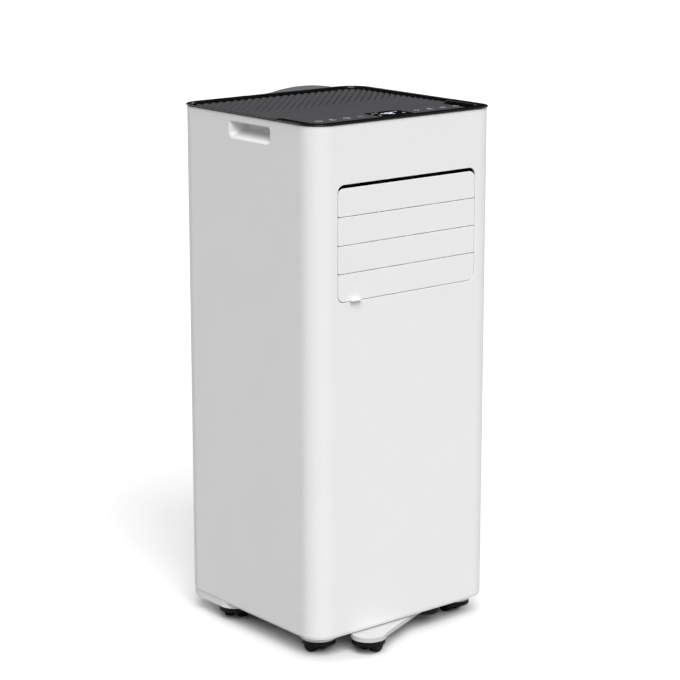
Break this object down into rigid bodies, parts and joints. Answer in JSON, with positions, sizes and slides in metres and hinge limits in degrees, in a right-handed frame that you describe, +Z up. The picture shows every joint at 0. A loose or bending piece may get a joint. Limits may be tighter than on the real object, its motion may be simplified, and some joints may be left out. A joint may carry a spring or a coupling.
{
  "type": "portable air conditioner",
  "caption": "Tall rounded portable air conditioner with front louver, ridged black lid, rear exhaust mouth and twin-wheel casters.",
  "frame": {"origin": "on the floor, under the centre of the cabinet's plan", "axes": "+X to the right seen from the front, -Y towards the front, +Z up"},
  "size_m": [0.303, 0.3935, 0.6957],
  "materials": {
    "shell_white": "moulded ABS, satin",
    "lid_black": "fine-textured ABS, satin",
    "control_gloss": "smooth acrylic film",
    "display_glass": "polished tinted acrylic",
    "caster_black": "glass-filled nylon",
    "duct_grey": "moulded ABS, matt",
    "outlet_black": "moulded ABS, matt",
    "rubber_dark": "moulded rubber",
    "filter_mesh": "woven nylon mesh",
    "foam_white": "expanded foam",
    "board_green": "solder-masked laminate",
    "coil_aluminium": "stamped fins",
    "copper": "drawn copper tube",
    "steel_plated": "zinc-plated steel",
    "compressor_paint": "black enamel",
    "fan_grey": "filled polypropylene"
  },
  "bodies": {
    "cabinet": {"front_panel": "shell_white", "left_side_panel": "shell_white", "right_side_panel": "shell_white", "rear_panel": "shell_white", "base_pan": "shell_white", "drain_nozzle": "shell_white", "front_foot": "shell_white", "drip_deck": "shell_white", "top_cover": "lid_black", "control_panel": "control_gloss", "display_window": "display_glass", "touch_board": "board_green", "main_board": "board_green", "air_outlet_frame": "outlet_black", "cord_gland": "rubber_dark", "compressor_grommets": "rubber_dark", "foot_cap": "caster_black", "exhaust_duct": "foam_white", "condenser_scroll": "foam_white", "evaporator_scroll": "foam_white", "air_plenum": "foam_white", "condenser_coil": "coil_aluminium", "evaporator_coil": "coil_aluminium", "refrigerant_pipes": "copper", "condenser_fan_motor": "steel_plated", "evaporator_fan_motor": "steel_plated", "control_box": "steel_plated", "run_capacitor": "steel_plated", "cabinet_screws": "steel_plated", "compressor": "compressor_paint"},
    "louver_slat_1": {"louver_slat_1": "shell_white"},
    "louver_slat_2": {"louver_slat_2": "shell_white"},
    "louver_slat_3": {"louver_slat_3": "shell_white"},
    "louver_slat_4": {"louver_slat_4": "shell_white"},
    "louver_link": {"louver_link": "duct_grey"},
    "air_vane_1": {"air_vane_1": "outlet_black"},
    "air_vane_2": {"air_vane_2": "outlet_black"},
    "air_vane_3": {"air_vane_3": "outlet_black"},
    "air_vane_4": {"air_vane_4": "outlet_black"},
    "vane_link": {"vane_link": "duct_grey"},
    "exhaust_connector": {"exhaust_connector": "duct_grey"},
    "upper_filter_cassette": {"upper_intake_grille": "shell_white", "upper_filter": "filter_mesh"},
    "lower_filter_cassette": {"lower_intake_grille": "shell_white", "lower_filter": "filter_mesh"},
    "drain_cap": {"drain_cap": "rubber_dark"},
    "sump_plug": {"sump_plug": "rubber_dark"},
    "condenser_fan": {"condenser_fan": "fan_grey"},
    "evaporator_fan": {"evaporator_fan": "fan_grey"},
    "front_left_caster": {"front_left_caster_hood": "caster_black"},
    "front_left_wheels": {"front_left_caster_wheels": "caster_black"},
    "front_right_caster": {"front_right_caster_hood": "caster_black"},
    "front_right_wheels": {"front_right_caster_wheels": "caster_black"},
    "rear_left_caster": {"rear_left_caster_hood": "caster_black"},
    "rear_left_wheels": {"rear_left_caster_wheels": "caster_black"},
    "rear_right_caster": {"rear_right_caster_hood": "caster_black"},
    "rear_right_wheels": {"rear_right_caster_wheels": "caster_black"},
    "foot_caster": {"foot_caster_hood": "caster_black"},
    "foot_wheels": {"foot_caster_wheels": "caster_black"}
  },
  "joints": [
    {"name": "louver_tilt_1", "type": "hinge", "parent": "cabinet", "child": "louver_slat_1", "pos_m": [0, -0.135, 0.6034], "axis": [-1, 0, 0], "range_deg": [0, 50]},
    {"name": "louver_tilt_2", "type": "hinge", "parent": "cabinet", "child": "louver_slat_2", "pos_m": [0, -0.135, 0.56755], "axis": [-1, 0, 0], "range_deg": [0, 50]},
    {"name": "louver_tilt_3", "type": "hinge", "parent": "cabinet", "child": "louver_slat_3", "pos_m": [0, -0.135, 0.5317], "axis": [-1, 0, 0], "range_deg": [0, 50]},
    {"name": "louver_tilt_4", "type": "hinge", "parent": "cabinet", "child": "louver_slat_4", "pos_m": [0, -0.135, 0.49585], "axis": [-1, 0, 0], "range_deg": [0, 50]},
    {"name": "louver_link_pivot", "type": "hinge", "parent": "louver_slat_1", "child": "louver_link", "pos_m": [0.1045, -0.125, 0.6034], "axis": [-1, 0, 0], "range_deg": [-50, 0]},
    {"name": "vane_swing_1", "type": "hinge", "parent": "cabinet", "child": "air_vane_1", "pos_m": [-0.0687, -0.0925, 0.54], "axis": [0, 0, 1], "range_deg": [-35, 35]},
    {"name": "vane_swing_2", "type": "hinge", "parent": "cabinet", "child": "air_vane_2", "pos_m": [-0.0229, -0.0925, 0.54], "axis": [0, 0, 1], "range_deg": [-35, 35]},
    {"name": "vane_swing_3", "type": "hinge", "parent": "cabinet", "child": "air_vane_3", "pos_m": [0.0229, -0.0925, 0.54], "axis": [0, 0, 1], "range_deg": [-35, 35]},
    {"name": "vane_swing_4", "type": "hinge", "parent": "cabinet", "child": "air_vane_4", "pos_m": [0.0687, -0.0925, 0.54], "axis": [0, 0, 1], "range_deg": [-35, 35]},
    {"name": "vane_link_pivot", "type": "hinge", "parent": "air_vane_1", "child": "vane_link", "pos_m": [-0.0687, -0.0805, 0.466], "axis": [0, 0, 1], "range_deg": [-35, 35]},
    {"name": "exhaust_connector_pull", "type": "slide", "parent": "cabinet", "child": "exhaust_connector", "axis": [0, 1, 0], "range_m": [0, 0.06]},
    {"name": "upper_filter_pull", "type": "slide", "parent": "cabinet", "child": "upper_filter_cassette", "axis": [0, 1, 0], "range_m": [0, 0.06]},
    {"name": "lower_filter_pull", "type": "slide", "parent": "cabinet", "child": "lower_filter_cassette", "axis": [0, 1, 0], "range_m": [0, 0.06]},
    {"name": "drain_cap_pull", "type": "slide", "parent": "cabinet", "child": "drain_cap", "axis": [0, 1, 0], "range_m": [0, 0.03]},
    {"name": "sump_plug_pull", "type": "slide", "parent": "cabinet", "child": "sump_plug", "axis": [0, 0, -1], "range_m": [0, 0.012]},
    {"name": "condenser_fan_spin", "type": "hinge", "parent": "cabinet", "child": "condenser_fan", "pos_m": [0.04, 0.0355, 0.148], "axis": [0, 1, 0], "continuous": true},
    {"name": "evaporator_fan_spin", "type": "hinge", "parent": "cabinet", "child": "evaporator_fan", "pos_m": [-0.0195, 0.0355, 0.417], "axis": [0, 1, 0], "continuous": true},
    {"name": "front_left_caster_swivel", "type": "hinge", "parent": "cabinet", "child": "front_left_caster", "pos_m": [-0.117, -0.106, 0.02], "axis": [0, 0, 1], "continuous": true},
    {"name": "front_left_wheels_roll", "type": "hinge", "parent": "front_left_caster", "child": "front_left_wheels", "pos_m": [-0.117, -0.102, 0.0105], "axis": [1, 0, 0], "continuous": true},
    {"name": "front_right_caster_swivel", "type": "hinge", "parent": "cabinet", "child": "front_right_caster", "pos_m": [0.117, -0.106, 0.02], "axis": [0, 0, 1], "continuous": true},
    {"name": "front_right_wheels_roll", "type": "hinge", "parent": "front_right_caster", "child": "front_right_wheels", "pos_m": [0.117, -0.102, 0.0105], "axis": [1, 0, 0], "continuous": true},
    {"name": "rear_left_caster_swivel", "type": "hinge", "parent": "cabinet", "child": "rear_left_caster", "pos_m": [-0.126, 0.061, 0.02], "axis": [0, 0, 1], "continuous": true},
    {"name": "rear_left_wheels_roll", "type": "hinge", "parent": "rear_left_caster", "child": "rear_left_wheels", "pos_m": [-0.12294, 0.06357, 0.0105], "axis": [0.6428, -0.766, 0], "continuous": true},
    {"name": "rear_right_caster_swivel", "type": "hinge", "parent": "cabinet", "child": "rear_right_caster", "pos_m": [0.126, 0.061, 0.02], "axis": [0, 0, 1], "continuous": true},
    {"name": "rear_right_wheels_roll", "type": "hinge", "parent": "rear_right_caster", "child": "rear_right_wheels", "pos_m": [0.12371, 0.06428, 0.0105], "axis": [0.8192, 0.5736, 0], "continuous": true},
    {"name": "foot_caster_swivel", "type": "hinge", "parent": "cabinet", "child": "foot_caster", "pos_m": [-0.068, -0.148, 0.02], "axis": [0, 0, 1], "continuous": true},
    {"name": "foot_wheels_roll", "type": "hinge", "parent": "foot_caster", "child": "foot_wheels", "pos_m": [-0.06414, -0.14697, 0.0105], "axis": [0.2588, -0.9659, 0], "continuous": true}
  ],
  "couplings": [
    {"joint": "louver_tilt_2", "follows": "louver_tilt_1", "ratio": 1},
    {"joint": "louver_tilt_3", "follows": "louver_tilt_1", "ratio": 1},
    {"joint": "louver_tilt_4", "follows": "louver_tilt_1", "ratio": 1},
    {"joint": "louver_link_pivot", "follows": "louver_tilt_1", "ratio": -1},
    {"joint": "vane_swing_2", "follows": "vane_swing_1", "ratio": 1},
    {"joint": "vane_swing_3", "follows": "vane_swing_1", "ratio": 1},
    {"joint": "vane_swing_4", "follows": "vane_swing_1", "ratio": 1},
    {"joint": "vane_link_pivot", "follows": "vane_swing_1", "ratio": -1}
  ]
}
